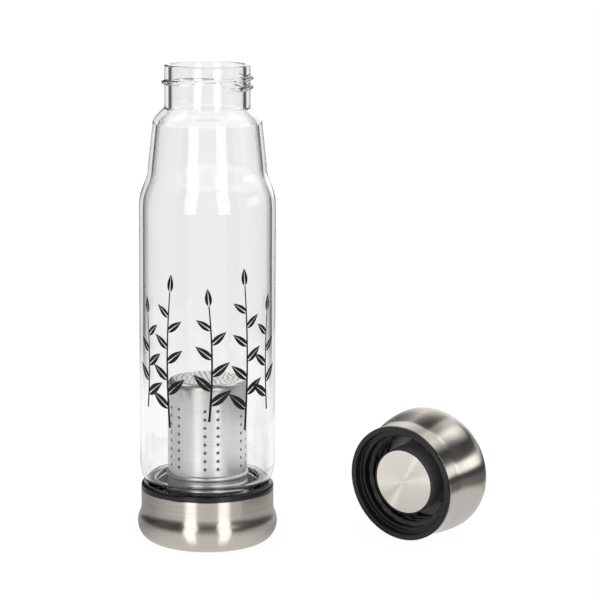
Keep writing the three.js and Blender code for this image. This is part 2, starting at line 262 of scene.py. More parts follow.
# Brushing: fine lines that run round the axis and change slowly on their way, so the lines follow
# the length along the outline (the second UV) and only weakly the place in space.
brushing = bpy.data.node_groups.new("brushing", "ShaderNodeTree")
for way, kind, names in (
    ("INPUT", "Vector", ("UV", "Place")), ("INPUT", "Float", ("Lines per metre", "Drift per metre")),
    ("OUTPUT", "Float", ("Fine", "Broad")),
):
    for name in names:
        brushing.interface.new_socket(name, in_out=way, socket_type="NodeSocket" + kind)
group_in = brushing.nodes.new("NodeGroupInput").outputs
group_place = split(brushing, group_in["Place"])
line_place = add_node(brushing, "ShaderNodeCombineXYZ", {
    "X": maths(brushing, "MULTIPLY", group_place["X"], group_in["Drift per metre"]),
    "Y": maths(brushing, "MULTIPLY", group_place["Y"], group_in["Drift per metre"]),
    "Z": maths(brushing, "MULTIPLY", split(brushing, group_in["UV"])["Y"], group_in["Lines per metre"]),
}).outputs[0]
feed(brushing, brushing.nodes.new("NodeGroupOutput"), {
    "Fine": noise(brushing, line_place, 1.0, 2.0, 0.6),
    "Broad": noise(brushing, line_place, 0.17, 1.0, 0.6),
})


def steel_material(name, light, dark, lines, drift, rough, bump, anisotropy):
    """Bare steel with a brushed or turned finish: the lines change its tint, roughness and height."""
    material, tree, shader = new_material(
        name, {"Metallic": 1.0, "Anisotropic": anisotropy, "Anisotropic Rotation": 0.25}
    )
    place = coords(tree)
    rates = {"Lines per metre": lines, "Drift per metre": drift}
    values = {"UV": place["UV"], "Place": place["Object"], **rates}
    finish = add_node(tree, "ShaderNodeGroup", values, node_tree=brushing)
    fine = finish.outputs["Fine"]
    tangent = add_node(tree, "ShaderNodeTangent", direction_type="UV_MAP", uv_map="UVMap")
    feed(tree, shader, {
        "Base Color": blend(tree, ramp(tree, fine, 0.25, 0.7), dark, light, "RGBA"),
        "Roughness": ramp(tree, finish.outputs["Broad"], 0.0, 1.0, *rough),
        "Normal": relief(tree, fine, bump, 0.00002),
        "Tangent": tangent.outputs[0],
    })
    return material


brushed_steel = steel_material(
    "brushed_steel", STEEL_LIGHT, STEEL_DARK, lines=9000, drift=25, rough=(0.21, 0.28), bump=0.05,
    anisotropy=0.9,
)
flat_edge = BASE_BULGE_RADIUS - BASE_CORNER
reach = (BASE_SKIRT_START - BASE_CORNER) / 2
base_inner = BASE_SKIRT_RADIUS - STEEL_WALL
base_inner_bulge = BASE_BULGE_RADIUS - STEEL_WALL
rim_round = STEEL_WALL / 2
rim_start = BASE_SKIRT_END - RIM_SET
base_outline = join(
    (0, 0),
    *rounded((BASE_BULGE_RADIUS, 0), BASE_CORNER, -90, 6, 24),
    s_curve((BASE_BULGE_RADIUS, BASE_CORNER), reach, (BASE_SKIRT_RADIUS, BASE_SKIRT_START), reach, 24),
    line((BASE_SKIRT_RADIUS, rim_start)),
    arc((BASE_SKIRT_RADIUS - rim_round, rim_start), rim_round, 0, 180),
    line((base_inner, BASE_SKIRT_START)),
    s_curve((base_inner_bulge, BASE_CORNER), reach, (base_inner, BASE_SKIRT_START), reach, 12)[::-1],
    arc((flat_edge, BASE_CORNER), BASE_CORNER - STEEL_WALL, 0, -90, 12),
    line((0, STEEL_WALL)),
)
base_shell = make_piece("base_steel", *turned(base_outline), brushed_steel)
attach(base_shell, "base")
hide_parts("base_shell")


# Base liner: one black moulding pressed into the steel, with a rounded lip over the steel's edge.
# The glass screws into its wide socket and the strainer into the ring in the middle. The threads of
# its sockets lie half a lead from the ones that screw into them.
LIP_TOP = 29.4
LIP_ROUND = 1.5
LIP_INNER = 30.0
LIP_GAP = 0.25
LIP_EDGE = 0.2
LIP_SLOPE = 1.0
GLASS_SOCKET_RADIUS = 29.0
SOCKET_FLOOR = 12.5
LINER_UNDERSIDE = 10.5
LINER_OUTER = 30.8
LINER_GRIP = 31.4
BOSS_TOP = 24.0
BOSS_RADIUS = 23.7
BOSS_EDGE = 0.5
STRAINER_SOCKET_RADIUS = 21.3
BASE_LEAD = 5.0
THREAD_START = 14.6
GLASS_THREAD_START = 17.0
WIDE_THREAD = (GLASS_SOCKET_RADIUS, GLASS_THREAD_START + BASE_LEAD / 2, 1.55, BASE_LEAD, 2.0, -1.2)
NARROW_THREAD = (STRAINER_SOCKET_RADIUS, THREAD_START + BASE_LEAD / 2, 1.5, BASE_LEAD, 2.0, -1.2)
PLASTIC_BLACK = (0.006, 0.006, 0.0055, 1)
PLASTIC_WORN = (0.011, 0.011, 0.0105, 1)
PLASTIC_FINISH = {"rough": (0.16, 0.28), "bump": 0.08, "grain": 6000.0, "shine": 0.35}


def plastic_material(name, colour, worn, rough, bump, grain, shine=0.5, painted_light=None):
    """Moulded plastic or rubber: a fine even grain in its height and a cloudy change of gloss. A band of
    lighter colour, painted light, can cover a stretch of the outline, given by its middle and half its
    length."""
    material, tree, shader = new_material(name, {"IOR": 1.5, "Specular IOR Level": shine})
    place = coords(tree)
    cloud = noise(tree, place["Object"], 70.0, 3.0)
    tint = blend(tree, cloud, colour, worn, "RGBA")
    if painted_light:
        # The band is painted light: a lighter colour that stands in for light falling on that stretch.
        painted_light_colour, middle, half = painted_light
        painted_light_share = maths(tree, "COMPARE", split(tree, place["UV"])["Y"], middle * MM, half * MM)
        tint = blend(tree, painted_light_share, tint, painted_light_colour, "RGBA")
    feed(tree, shader, {
        "Base Color": tint,
        "Roughness": ramp(tree, cloud, 0.0, 1.0, *rough),
        "Normal": relief(tree, noise(tree, place["Object"], grain, 1.0), bump, 0.00003),
    })
    return material


black_plastic = plastic_material("black_plastic", PLASTIC_BLACK, PLASTIC_WORN, **PLASTIC_FINISH)
lip_foot = BASE_SKIRT_END + LIP_GAP
socket_top = LIP_TOP - LIP_SLOPE
liner_outline = join(
    (0, LINER_UNDERSIDE),
    line((LINER_OUTER, LINER_UNDERSIDE)),
    line((LINER_OUTER, BASE_SKIRT_START)),
    line((LINER_GRIP, BASE_SKIRT_START), 1, 0.1),
    line((LINER_GRIP, lip_foot)),
    *rounded((BASE_SKIRT_RADIUS, lip_foot), LIP_EDGE, -90, 2, 4),
    *rounded((BASE_SKIRT_RADIUS, LIP_TOP), LIP_ROUND, 0, 2, 12),
    line((LIP_INNER + 0.3, LIP_TOP), 2, 0.08),
    bezier((LIP_INNER + 0.3, LIP_TOP), (LIP_INNER, LIP_TOP), (GLASS_SOCKET_RADIUS, socket_top + 0.3),
           (GLASS_SOCKET_RADIUS, socket_top)),
    line((GLASS_SOCKET_RADIUS, SOCKET_FLOOR), 64),
    line((BOSS_RADIUS, SOCKET_FLOOR)),
    *rounded((BOSS_RADIUS, BOSS_TOP), BOSS_EDGE, 0, 4, 5),
    *rounded((STRAINER_SOCKET_RADIUS, BOSS_TOP), BOSS_EDGE, 90, 2, 5),
    line((STRAINER_SOCKET_RADIUS, SOCKET_FLOOR), 44),
    line((0, SOCKET_FLOOR)),
)
base_liner = make_piece("base_liner", *turned(liner_outline, WIDE_THREAD, NARROW_THREAD), black_plastic)
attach(base_liner, "base")
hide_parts("base_insert")


# Base seal: a flat ring cut or moulded from grey silicone. It lies loose on the floor of the
# socket, and the foot of the glass presses on it.
SEAL_THICKNESS = 1.9
SEAT_GAP = 0.3
SEAL_GREY = (0.36, 0.36, 0.35, 1)
SEAL_DUSTY = (0.44, 0.44, 0.43, 1)


def soft_ring(inner, outer, foot, top, edge=0.4):
    """Section of a flat ring with rounded edges, as a closed outline."""
    return join(
        (inner + edge, foot),
        *rounded((outer, foot), edge, -90, 3, 5),
        *rounded((outer, top), edge, 0, 2, 5),
        *rounded((inner, top), edge, 90, 3, 5),
        *rounded((inner, foot), edge, 180, 2, 5),
    )


grey_silicone = plastic_material(
    "grey_silicone", SEAL_GREY, SEAL_DUSTY, rough=(0.5, 0.62), bump=0.2, grain=3000.0
)
seal_foot = SOCKET_FLOOR + SEAT_GAP
seal_outline = soft_ring(
    BOSS_RADIUS + SEAT_GAP, GLASS_SOCKET_RADIUS - SEAT_GAP, seal_foot, seal_foot + SEAL_THICKNESS
)
base_seal = make_piece("base_seal_ring", *turned(seal_outline, ring=True), grey_silicone)
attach(base_seal, "seal")
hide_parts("base_seal")


# Base disc: a stamped steel disc on the floor of the strainer's socket, with a turned finish in
# fine rings and a broken edge.
DISC_THICKNESS = 0.6
TURNED_LIGHT = (0.84, 0.805, 0.745, 1)
TURNED_DARK = (0.72, 0.687, 0.63, 1)


def disc_outline(radius, foot, top, edge=0.15):
    """Section of a flat disc with a small round on both edges, from axis to axis."""
    return join(
        (0, foot),
        *rounded((radius, foot), edge, -90, 10, 4),
        line((radius, top - edge), 1, 0.05),
        arc((radius - edge, top - edge), edge, 0, 90, 4),
        line((0, top), 10),
    )


turned_steel = steel_material(
    "turned_steel", TURNED_LIGHT, TURNED_DARK, lines=14000, drift=12, rough=(0.3, 0.36), bump=0.1,
    anisotropy=0.95,
)
base_disc = make_piece(
    "base_floor_disc",
    *turned(disc_outline(STRAINER_SOCKET_RADIUS - SEAT_GAP, seal_foot, seal_foot + DISC_THICKNESS)),
    turned_steel,
)
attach(base_disc, "floor_disc")
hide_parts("base_disc")


# Strainer collar: a turned steel ring that screws into the base, with a thread, a waist and a
# rolled bead under the sleeve, which is welded over its spigot.
COLLAR_RADIUS = 19.6
COLLAR_BORE = 17.7
COLLAR_FOOT = 13.7
COLLAR_TOP = 36.0
COLLAR_EDGE = 0.3
COLLAR_THREAD = (COLLAR_RADIUS, THREAD_START, 2.95, BASE_LEAD, 2.2, 1.0)
WAIST_START = 30.8
WAIST_RADIUS = 19.2
BEAD_START = 33.4
BEAD_BULGE = 0.9
SPIGOT_RADIUS = 18.4
SPIGOT_TOP = 38.2
SATIN_LIGHT = (0.84, 0.825, 0.805, 1)
SATIN_DARK = (0.72, 0.705, 0.685, 1)


polished_steel = steel_material(
    "polished_steel", SATIN_LIGHT, SATIN_DARK, lines=5000, drift=30, rough=(0.36, 0.44), bump=0.05,
    anisotropy=0.1,
)
bead_half = (COLLAR_TOP - BEAD_START) / 2
collar_outline = join(
    (COLLAR_BORE, COLLAR_FOOT),
    *rounded((COLLAR_RADIUS, COLLAR_FOOT), COLLAR_EDGE, -90, 2, 4),
    line((COLLAR_RADIUS, WAIST_START), 72),
    s_curve((COLLAR_RADIUS, WAIST_START), 0.6, (WAIST_RADIUS, WAIST_START + 1.3), 0.6, 8),
    line((WAIST_RADIUS, BEAD_START), 2),
    arc((WAIST_RADIUS, BEAD_START + bead_half), (BEAD_BULGE, bead_half), -90, 90, 16),
    line((SPIGOT_RADIUS, COLLAR_TOP), 2),
    line((SPIGOT_RADIUS, SPIGOT_TOP), 2),
    line((COLLAR_BORE, SPIGOT_TOP), 2),
    line((COLLAR_BORE, COLLAR_FOOT)),
)
strainer_collar = make_piece(
    "strainer_collar_ring", *turned(collar_outline, COLLAR_THREAD, ring=True), polished_steel
)
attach(strainer_collar, "strainer")
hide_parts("strainer_collar")


# Strainer sleeve: a cup drawn from 0.6 mm steel, its side punched with six pairs of hole columns,
# eight holes high. Its rounded edge runs into the flat end.
SLEEVE_RADIUS = 19.3
SLEEVE_WALL = 0.6
SLEEVE_FOOT = 36.05
SLEEVE_TOP = 81.0
SLEEVE_ROUND = 2.7
HOLE_ROWS = 8
HOLE_PITCH = 4.1
HOLE_START = 39.5
HOLE_RADIUS = 0.8
HOLE_CELL = 1.25
CELL_STEPS = 4
PAIRS = 6
PAIR_HALF_ANGLE = 9.3
STRAINER_TURN = 5.8
SLEEVE_STEP = 3.0

satin_steel = steel_material(
    "satin_steel", SATIN_LIGHT, SATIN_DARK, lines=5000, drift=30, rough=(0.33, 0.41), bump=0.05,
    anisotropy=0.3,
)


def spaced(breaks, steps):
    """Numbers through all the breaks, with the given count of even steps between each two."""
    parts = [np.linspace(a, b, n, endpoint=False) for a, b, n in zip(breaks[:-1], breaks[1:], steps)]
    return np.concatenate(parts + [breaks[-1:]])


def between(first, second, axis=-1):
    """Faces, or their UVs, between the points of two loops."""
    return np.stack([first, np.roll(first, -1, 1), np.roll(second, -1, 1), second], axis)


def punched_wall(radius, corner):
    """One face of the sleeve: the straight side at its row heights and the quarter round to the flat
    end, turned to each angle, where the block of cells round each hole is taken out and a ring of
    faces joins the block's border to the hole's circle. Returns points, faces, UVs and the circles'
    point numbers."""
    straight = np.stack([np.full(len(side_heights), radius), side_heights], 1)
    profile = join(straight, arc((end_radius, straight_end), corner, 0, 90, 8))
    angles = sleeve_angles
    count = len(angles)
    height = profile[:, 1]
    along = lengths(profile)
    points = round_axis(profile[:, :1], angles, height[:, None]).reshape(-1, 3)
    quads = grid_faces(len(profile), count)
    turn = angles / (2 * np.pi)
    uvs = grid_uvs(np.append(turn, turn[0] + 1), along)
    column, row = [grid.ravel() for grid in np.meshgrid(column_starts, row_starts, indexing="ij")]
    side = np.arange(CELL_STEPS)
    keep = np.ones(quads.shape[:2], bool)
    keep[(row[:, None] + side)[:, :, None], (column[:, None] + side)[:, None, :]] = False
    far = np.full(CELL_STEPS, CELL_STEPS)
    border_column = (column[:, None] + np.concatenate([side, far, far - side, 0 * side])) % count
    border_row = row[:, None] + np.concatenate([0 * side, side, far, far - side])
    border = border_row * count + border_column
    middle_turn = angles[column + CELL_STEPS // 2][:, None]
    middle_height = height[row + CELL_STEPS // 2][:, None]
    middle_along = along[row + CELL_STEPS // 2][:, None]
    offset_across = (angles[border_column] - middle_turn) * radius
    offset_up = height[border_row] - middle_height
    reach = np.hypot(offset_across, offset_up)
    circle_across = HOLE_RADIUS * offset_across / reach
    circle_up = HOLE_RADIUS * offset_up / reach
    circle_angle = middle_turn + circle_across / radius
    circle_points = round_axis(radius, circle_angle, middle_height + circle_up)
    circle = len(points) + np.arange(circle_angle.size).reshape(circle_angle.shape)
    ring = between(border, circle)
    border_uv = np.stack([turn[border_column], along[border_row] * MM], -1)
    circle_uv = np.stack([circle_angle / (2 * np.pi), (middle_along + circle_up) * MM], -1)
    ring_uv = between(border_uv, circle_uv, -2)
    points = np.vstack([points, circle_points.reshape(-1, 3)])
    faces = np.vstack([quads[keep], ring.reshape(-1, 4)])
    return points, faces, np.vstack([uvs[keep], ring_uv.reshape(-1, 4, 2)]), circle


hole_columns = np.sort(np.radians(np.add.outer(
    np.arange(PAIRS) * 360 / PAIRS + STRAINER_TURN, [-PAIR_HALF_ANGLE, PAIR_HALF_ANGLE]).ravel() % 360))
cell_half = HOLE_CELL / SLEEVE_RADIUS
hole_rows = HOLE_START + HOLE_PITCH * np.arange(HOLE_ROWS)
angle_breaks = np.stack([hole_columns - cell_half, hole_columns + cell_half], 1).ravel()
angle_breaks = np.append(angle_breaks, angle_breaks[0] + 2 * np.pi)
angle_steps = [CELL_STEPS if gap % 2 == 0 else int(np.ceil(np.degrees(width) / SLEEVE_STEP))
               for gap, width in enumerate(np.diff(angle_breaks))]
sleeve_angles = spaced(angle_breaks, angle_steps)[:-1]
column_starts = np.cumsum([0] + angle_steps)[:-1:2]
straight_end = SLEEVE_TOP - SLEEVE_ROUND
row_breaks = np.stack([hole_rows - HOLE_CELL, hole_rows + HOLE_CELL], 1).ravel()
row_breaks = np.concatenate([[SLEEVE_FOOT], row_breaks, [straight_end]])
row_steps = [3] + [CELL_STEPS if gap % 2 == 0 else 2 for gap in range(2 * HOLE_ROWS - 1)] + [6]
row_starts = np.cumsum([0] + row_steps)[1:-1:2]
side_heights = spaced(row_breaks, row_steps)
end_radius = SLEEVE_RADIUS - SLEEVE_ROUND
outer, inner = [
    punched_wall(SLEEVE_RADIUS - depth, SLEEVE_ROUND - depth) for depth in (0, SLEEVE_WALL)
]
shift = len(outer[0])
hole_walls = between(outer[3], inner[3] + shift)
around = np.arange(len(sleeve_angles))
after = (around + 1) % len(around)
foot_ring = np.stack([around + shift, after + shift, after, around], -1)
top_row = outer[3][0, 0] - len(around)
top_ring = top_row + np.stack([around, after, after + shift, around + shift], -1)
edge_faces = np.vstack([hole_walls.reshape(-1, 4), foot_ring, top_ring])
edge_uvs = np.zeros((len(edge_faces), 4, 2))
strainer_sleeve = make_piece(
    "strainer_sleeve_cup", np.vstack([outer[0], inner[0]]),
    [outer[1], inner[1][:, ::-1] + shift, edge_faces],
    [outer[2], inner[2][:, ::-1], edge_uvs], satin_steel,
)
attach(strainer_sleeve, "strainer")
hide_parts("strainer_sleeve")


# Strainer end: the flat top of the strainer, a steel disc with rings of punched holes, welded flush
# into the rounded edge of the sleeve.
END_HOLE_RADIUS = 0.7
END_RING_PITCH = 2.55
END_RINGS = 6
END_HOLE_SIDES = 14
END_RIM_SIDES = 120
END_GAP = 0.005


def punched_disc(radius, foot, top, centres, hole_radius, sides, rim_sides):
    """Flat disc with round holes: the rim's and the holes' polygons are filled by a constrained
    Delaunay triangulation, the triangles inside holes are dropped, and walls join both faces."""
    rim = round_axis(radius, np.arange(rim_sides) * 2 * np.pi / rim_sides, 0)[:, :2]
    circle = round_axis(hole_radius, np.arange(sides) * 2 * np.pi / sides, 0)[:, :2]
    holes = centres[:, None] + circle
    flat = np.vstack([rim, holes.reshape(-1, 2)])
    rim_edges = np.stack([np.arange(rim_sides), (np.arange(rim_sides) + 1) % rim_sides], 1)
    hole_ids = rim_sides + np.arange(holes.shape[0] * sides).reshape(-1, sides)
    hole_edges = np.stack([hole_ids, np.roll(hole_ids, -1, 1)], -1).reshape(-1, 2)
    edges = np.vstack([rim_edges, hole_edges])
    filled = delaunay_2d_cdt(flat.tolist(), edges.tolist(), [], 1, 1e-6)
    spots = np.array([tuple(spot) for spot in filled[0]])
    triangles = np.array(filled[2])
    middle = spots[triangles].mean(1)
    nearest = np.linalg.norm(middle[:, None] - centres, axis=-1).min(1)
    triangles = triangles[nearest > hole_radius * 0.98]
    a, b, c = [spots[triangles[:, corner]] for corner in range(3)]
    turn = (b - a)[:, 0] * (c - a)[:, 1] - (b - a)[:, 1] * (c - a)[:, 0]
    triangles[turn < 0] = triangles[turn < 0][:, ::-1]
    count = len(spots)
    points = np.vstack([np.column_stack([spots, np.full(count, level)]) for level in (top, foot)])
    walls = np.vstack([
        np.column_stack([rim_edges + count, rim_edges[:, ::-1]]),
        np.column_stack([hole_edges[:, ::-1] + count, hole_edges]),
    ])
    faces = [triangles, triangles[:, ::-1] + count, walls]
    spot_uv = np.vstack([spots, spots]) * MM
    return points, faces, [spot_uv[group] for group in faces]


rings = np.arange(1, END_RINGS + 1)
ring_number = np.repeat(rings, 6 * rings)
ring_place = np.concatenate([np.arange(6 * ring) / (6 * ring) for ring in rings])
hole_turn = 2 * np.pi * ring_place + np.radians(STRAINER_TURN)
end_centres = round_axis(END_RING_PITCH * ring_number, hole_turn, 0)[:, :2]
end_centres = np.vstack([[[0.0, 0.0]], end_centres])
strainer_end = make_piece(
    "strainer_end_disc",
    *punched_disc(end_radius - END_GAP, SLEEVE_TOP - SLEEVE_WALL, SLEEVE_TOP, end_centres,
                  END_HOLE_RADIUS, END_HOLE_SIDES, END_RIM_SIDES),
    polished_steel,
)
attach(strainer_end, "strainer")
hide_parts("strainer_end")


# Glass body: one blown and moulded piece of clear glass, open at both ends, with fire-polished rims
# and a raised thread on each neck. The lower neck screws into the base. The upper thread starts near
# the front on the right and climbs round the back to the right again.
GLASS_FOOT = 15.0
LOWER_NECK_RADIUS = 27.3
LOWER_BORE = 24.7
HEEL_FOOT = 30.4
HEEL_LEDGE = 29.4
HEEL_EDGE = 1.2
HEEL_FILLET = 0.4
BODY_RADIUS = 33.0
BODY_BORE = 30.7
BODY_FOOT = 42.0
FLARE_FOOT = 165.0
UPPER_FOOT = 185.0
UPPER_RADIUS = 28.5
SHOULDER_FOOT = 206.0
SHOULDER_RADIUS = 26.26
SHOULDER_SLOPE = 0.88
SHOULDER_LEAN = 0.25
SHOULDER_PULL = 0.8
GLASS_WALL = 2.3
NECK_FOOT = 213.0
NECK_RADIUS = 20.6
NECK_BORE = 17.4
RIM_TOP = 233.6
RIM_ROUND = 0.8
NECK_FILLET = 1.4
NECK_LEAD = 4.3
LOWER_THREAD = (LOWER_NECK_RADIUS, GLASS_THREAD_START, 2.1, BASE_LEAD, 2.2, 1.1)
NECK_THREAD = (NECK_RADIUS, 222.1, 1.31, NECK_LEAD, 2.4, 1.4, 20)
GLASS_TINT = (0.996, 0.997, 0.994, 1)
GLASS_TINT_THICK = (0.985, 0.988, 0.984, 1)


def shoulder(start, neck, steps=20):
    """Rounded shoulder: a cubic curve that leaves along the taper, turns near the corner where the
    taper meets a cone, and arrives at the neck along the cone."""
    drop = SHOULDER_SLOPE * (start[0] - neck[0])
    corner = np.array([start[0] - SHOULDER_LEAN, neck[1] - drop])
    first = start + SHOULDER_PULL * (corner - start)
    second = neck + SHOULDER_PULL * (corner - neck)
    return bezier(start, first, second, neck, steps)


clear_glass, tree, shader = new_material(
    "clear_glass", {"Transmission Weight": 1.0, "IOR": 1.47, "Roughness": 0.0}
)
glass_cloud = noise(tree, coords(tree)["Object"], 25.0, 2.0)
feed(tree, shader, {
    "Base Color": blend(tree, glass_cloud, GLASS_TINT, GLASS_TINT_THICK, "RGBA"),
    "Normal": relief(tree, glass_cloud, 0.03, 0.0005),
})

lower_middle = (LOWER_BORE + LOWER_NECK_RADIUS) / 2
lower_half = (LOWER_NECK_RADIUS - LOWER_BORE) / 2
neck_middle = (NECK_BORE + NECK_RADIUS) / 2
neck_half = (NECK_RADIUS - NECK_BORE) / 2
neck_foot = np.array([NECK_RADIUS, NECK_FOOT])
outer_shoulder = shoulder(np.array([SHOULDER_RADIUS, SHOULDER_FOOT]), neck_foot)
# The inner shoulder is a little lower than the outer one, so that the wall keeps its thickness.
inner_start = np.array([SHOULDER_RADIUS - GLASS_WALL + 0.13, SHOULDER_FOOT - 1.2])
bore_foot = np.array([NECK_BORE, NECK_FOOT - 0.4])
inner_shoulder = shoulder(inner_start, bore_foot)
inner_ledge = HEEL_FOOT + GLASS_WALL
inner_heel = (BODY_BORE - HEEL_LEDGE, BODY_FOOT - inner_ledge)
glass_outline = join(
    arc((lower_middle, GLASS_FOOT + RIM_ROUND), (lower_half, RIM_ROUND), 180, 360, 12),
    *rounded((LOWER_NECK_RADIUS, HEEL_FOOT), HEEL_FILLET, 180, 60, 4, -90),
    line((HEEL_LEDGE, HEEL_FOOT), 3),
    arc((HEEL_LEDGE, BODY_FOOT), (BODY_RADIUS - HEEL_LEDGE, BODY_FOOT - HEEL_FOOT), -90, 0, 20),
    line((BODY_RADIUS, FLARE_FOOT), 16),
    s_curve((BODY_RADIUS, FLARE_FOOT), 10, (UPPER_RADIUS, UPPER_FOOT), 8, 24),
    line((SHOULDER_RADIUS, SHOULDER_FOOT), 4),
    outer_shoulder[:-1],
    bezier(outer_shoulder[-2], neck_foot - [0.05, 0.1], neck_foot + [0, 0.1],
           neck_foot + [0, NECK_FILLET], 6),
    line((NECK_RADIUS, RIM_TOP - RIM_ROUND), 80),
    arc((neck_middle, RIM_TOP - RIM_ROUND), (neck_half, RIM_ROUND), 0, 180, 14),
    line(bore_foot + [0, 1.2], 8),
    bezier(bore_foot + [0, 1.2], bore_foot + [0, 0.1], bore_foot + [0.05, -0.1], inner_shoulder[-2], 6),
    inner_shoulder[-2::-1],
    line((UPPER_RADIUS - GLASS_WALL, UPPER_FOOT), 4),
    s_curve((BODY_BORE, FLARE_FOOT), 10, (UPPER_RADIUS - GLASS_WALL, UPPER_FOOT), 8, 24)[::-1],
    line((BODY_BORE, BODY_FOOT), 16),
    arc((HEEL_LEDGE, BODY_FOOT), inner_heel, 0, -90, 20),
    *rounded((LOWER_BORE, inner_ledge), HEEL_EDGE, 90, 4, 8),
    line((LOWER_BORE, GLASS_FOOT + RIM_ROUND), 6),
)
glass_body = make_piece(
    "glass_bottle", *turned(glass_outline, LOWER_THREAD, NECK_THREAD, ring=True), clear_glass, 50
)
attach(glass_body, "glass")
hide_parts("glass_body")


# Print on the glass: black enamel lines, screen printed on the front and fired. The design is a
# plain row of tea sprigs with alternate leaves.
PRINT_RADIUS = 33.01
PRINT_BUILD = 0.04
STEM_WIDTH = 1.2
VEIN_WIDTH = 0.55
INK_BLACK = (0.008, 0.008, 0.009, 1)
INK_THIN = (0.016, 0.016, 0.017, 1)
ACROSS = 5
LEAF_LENGTH = 12.5
LEAF_SHRINK = 4.5
LEAF_BULGE = 0.17
LEAF_SPREAD = 0.9
TIP_LENGTH = 8.5
TIP_BULGE = 1.5
SPRIGS = (
    (-35.0, 70.0, 46.0, 2.0, 5, 1), (-18.0, 62.0, 66.0, -2.4, 7, -1), (0.0, 66.0, 56.0, 2.2, 6, 1),
    (18.0, 61.0, 70.0, 2.2, 7, -1), (35.0, 69.0, 48.0, -2.0, 5, -1),
)


def ink_line(path, width):
    """A printed line or blade on the round glass: path gives the length round the glass from the
    front and the height, and width its breadth at each point. The breadth is laid out across the
    path's run, and the section is a closed flat band carried along the path."""
    run = np.gradient(path, axis=0)
    run /= np.linalg.norm(run, axis=1)[:, None]
    across = np.stack([-run[:, 1], run[:, 0]], 1)
    spread = np.linspace(-0.5, 0.5, ACROSS)
    spots = path[:, None] + across[:, None] * (spread[None] * width[:, None])[..., None]
    angle = spots[..., 0] / PRINT_RADIUS
    outside = round_axis(PRINT_RADIUS + PRINT_BUILD, angle, spots[..., 1])
    inside = round_axis(PRINT_RADIUS, angle, spots[..., 1])
    points = np.concatenate([outside, inside[:, ::-1]], 1)
    girth = 2 * ACROSS
    quads = grid_faces(len(path), girth)[..., [0, 3, 2, 1]]
    low = np.arange(ACROSS - 1)
    end = np.stack([low, low + 1, girth - 2 - low, girth - 1 - low], 1)
    far = end[:, ::-1] + girth * (len(path) - 1)
    return points.reshape(-1, 3), np.vstack([quads.reshape(-1, 4), end, far])


def leaf_halves(root, heading, length, bulge):
    """A leaf as two blades with a bare vein between them: each blade's breadth is the bulge times a
    sine hump that leans to the root, and it lies beside the vein."""
    share = np.linspace(0.02, 0.98, 21)
    ahead = np.array([np.sin(heading), np.cos(heading)])
    beside = np.array([np.cos(heading), -np.sin(heading)])
    middle = np.array(root) + ahead * length * share[:, None]
    breadth = bulge * np.sin(np.pi * share**0.75)
    offset = (VEIN_WIDTH * (1 - share) + breadth) / 2
    return [(middle + side * beside * offset[:, None], breadth) for side in (-1, 1)]


def sprig_lines(place, foot, tall, sway, leaves, first_side):
    """A stem that sways like a sine and thins to its tip, with leaves on alternate sides that get
    shorter upwards and one leaf at its end."""
    share = np.linspace(0, 1, 49)
    stem = np.stack([place + sway * np.sin(2.4 * share + 0.4), foot + tall * share], 1)
    lines = [(stem, STEM_WIDTH * (1 - 0.5 * share))]
    for number in range(leaves):
        at = 7 + int(38 * number / leaves)
        run = stem[at + 1] - stem[at - 1]
        side = first_side * (1 if number % 2 == 0 else -1)
        heading = np.arctan2(run[0], run[1]) + side * LEAF_SPREAD
        length = LEAF_LENGTH - LEAF_SHRINK * number / leaves
        lines += leaf_halves(stem[at], heading, length, length * LEAF_BULGE)
    tip = stem[-1] - stem[-3]
    return lines + leaf_halves(stem[-1], np.arctan2(tip[0], tip[1]), TIP_LENGTH, TIP_BULGE)


black_ink = plastic_material(
    "black_ink", INK_BLACK, INK_THIN, rough=(0.3, 0.42), bump=0.06, grain=5000.0, shine=0.15
)
bands = [ink_line(*stroke) for sprig in SPRIGS for stroke in sprig_lines(*sprig)]
starts = np.cumsum([0] + [len(points) for points, faces in bands])
print_points = np.vstack([points for points, faces in bands])
print_faces = np.vstack([faces + start for (points, faces), start in zip(bands, starts)])
print_uv = print_points[:, [0, 2]] * MM
glass_print = make_piece("glass_print", print_points, [print_faces], [print_uv[print_faces]], black_ink)
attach(glass_print, "glass")


# Cap shell: the cap's steel cover, drawn and brushed like the base. The cap is off the bottle and
# lies on the edge of its lip and on its bulge, with its mouth to the front and to the left.
CAP_HEIGHT = 38.3
CAP_BULGE_RADIUS = 31.3
CAP_SKIRT_RADIUS = 29.0
CAP_CORNER = 12.7
CAP_SKIRT_END = 9.0
CAP_CREASE = 0.12
CAP_RIM = 1.5
CAP_PLACE = (106.0, 10.0)
CAP_TURN = 39.0

cap_bulge_height = CAP_HEIGHT - CAP_CORNER
cap_flat = CAP_BULGE_RADIUS - CAP_CORNER
cap_slope = cap_bulge_height - CAP_SKIRT_END
cap_inner = CAP_SKIRT_RADIUS - STEEL_WALL
cap_inner_bulge = CAP_BULGE_RADIUS - STEEL_WALL
cap_rim = CAP_RIM + RIM_SET
cap_side, cap_inner_side = [
    s_curve((low, CAP_SKIRT_END), cap_slope * CAP_CREASE, (high, cap_bulge_height), cap_slope / 2, steps)
    for low, high, steps in ((CAP_SKIRT_RADIUS, CAP_BULGE_RADIUS, 32), (cap_inner, cap_inner_bulge, 12))
]
cap_tilt = np.arctan2(cap_side[:, 0] - CAP_SKIRT_RADIUS, cap_side[:, 1]).max()


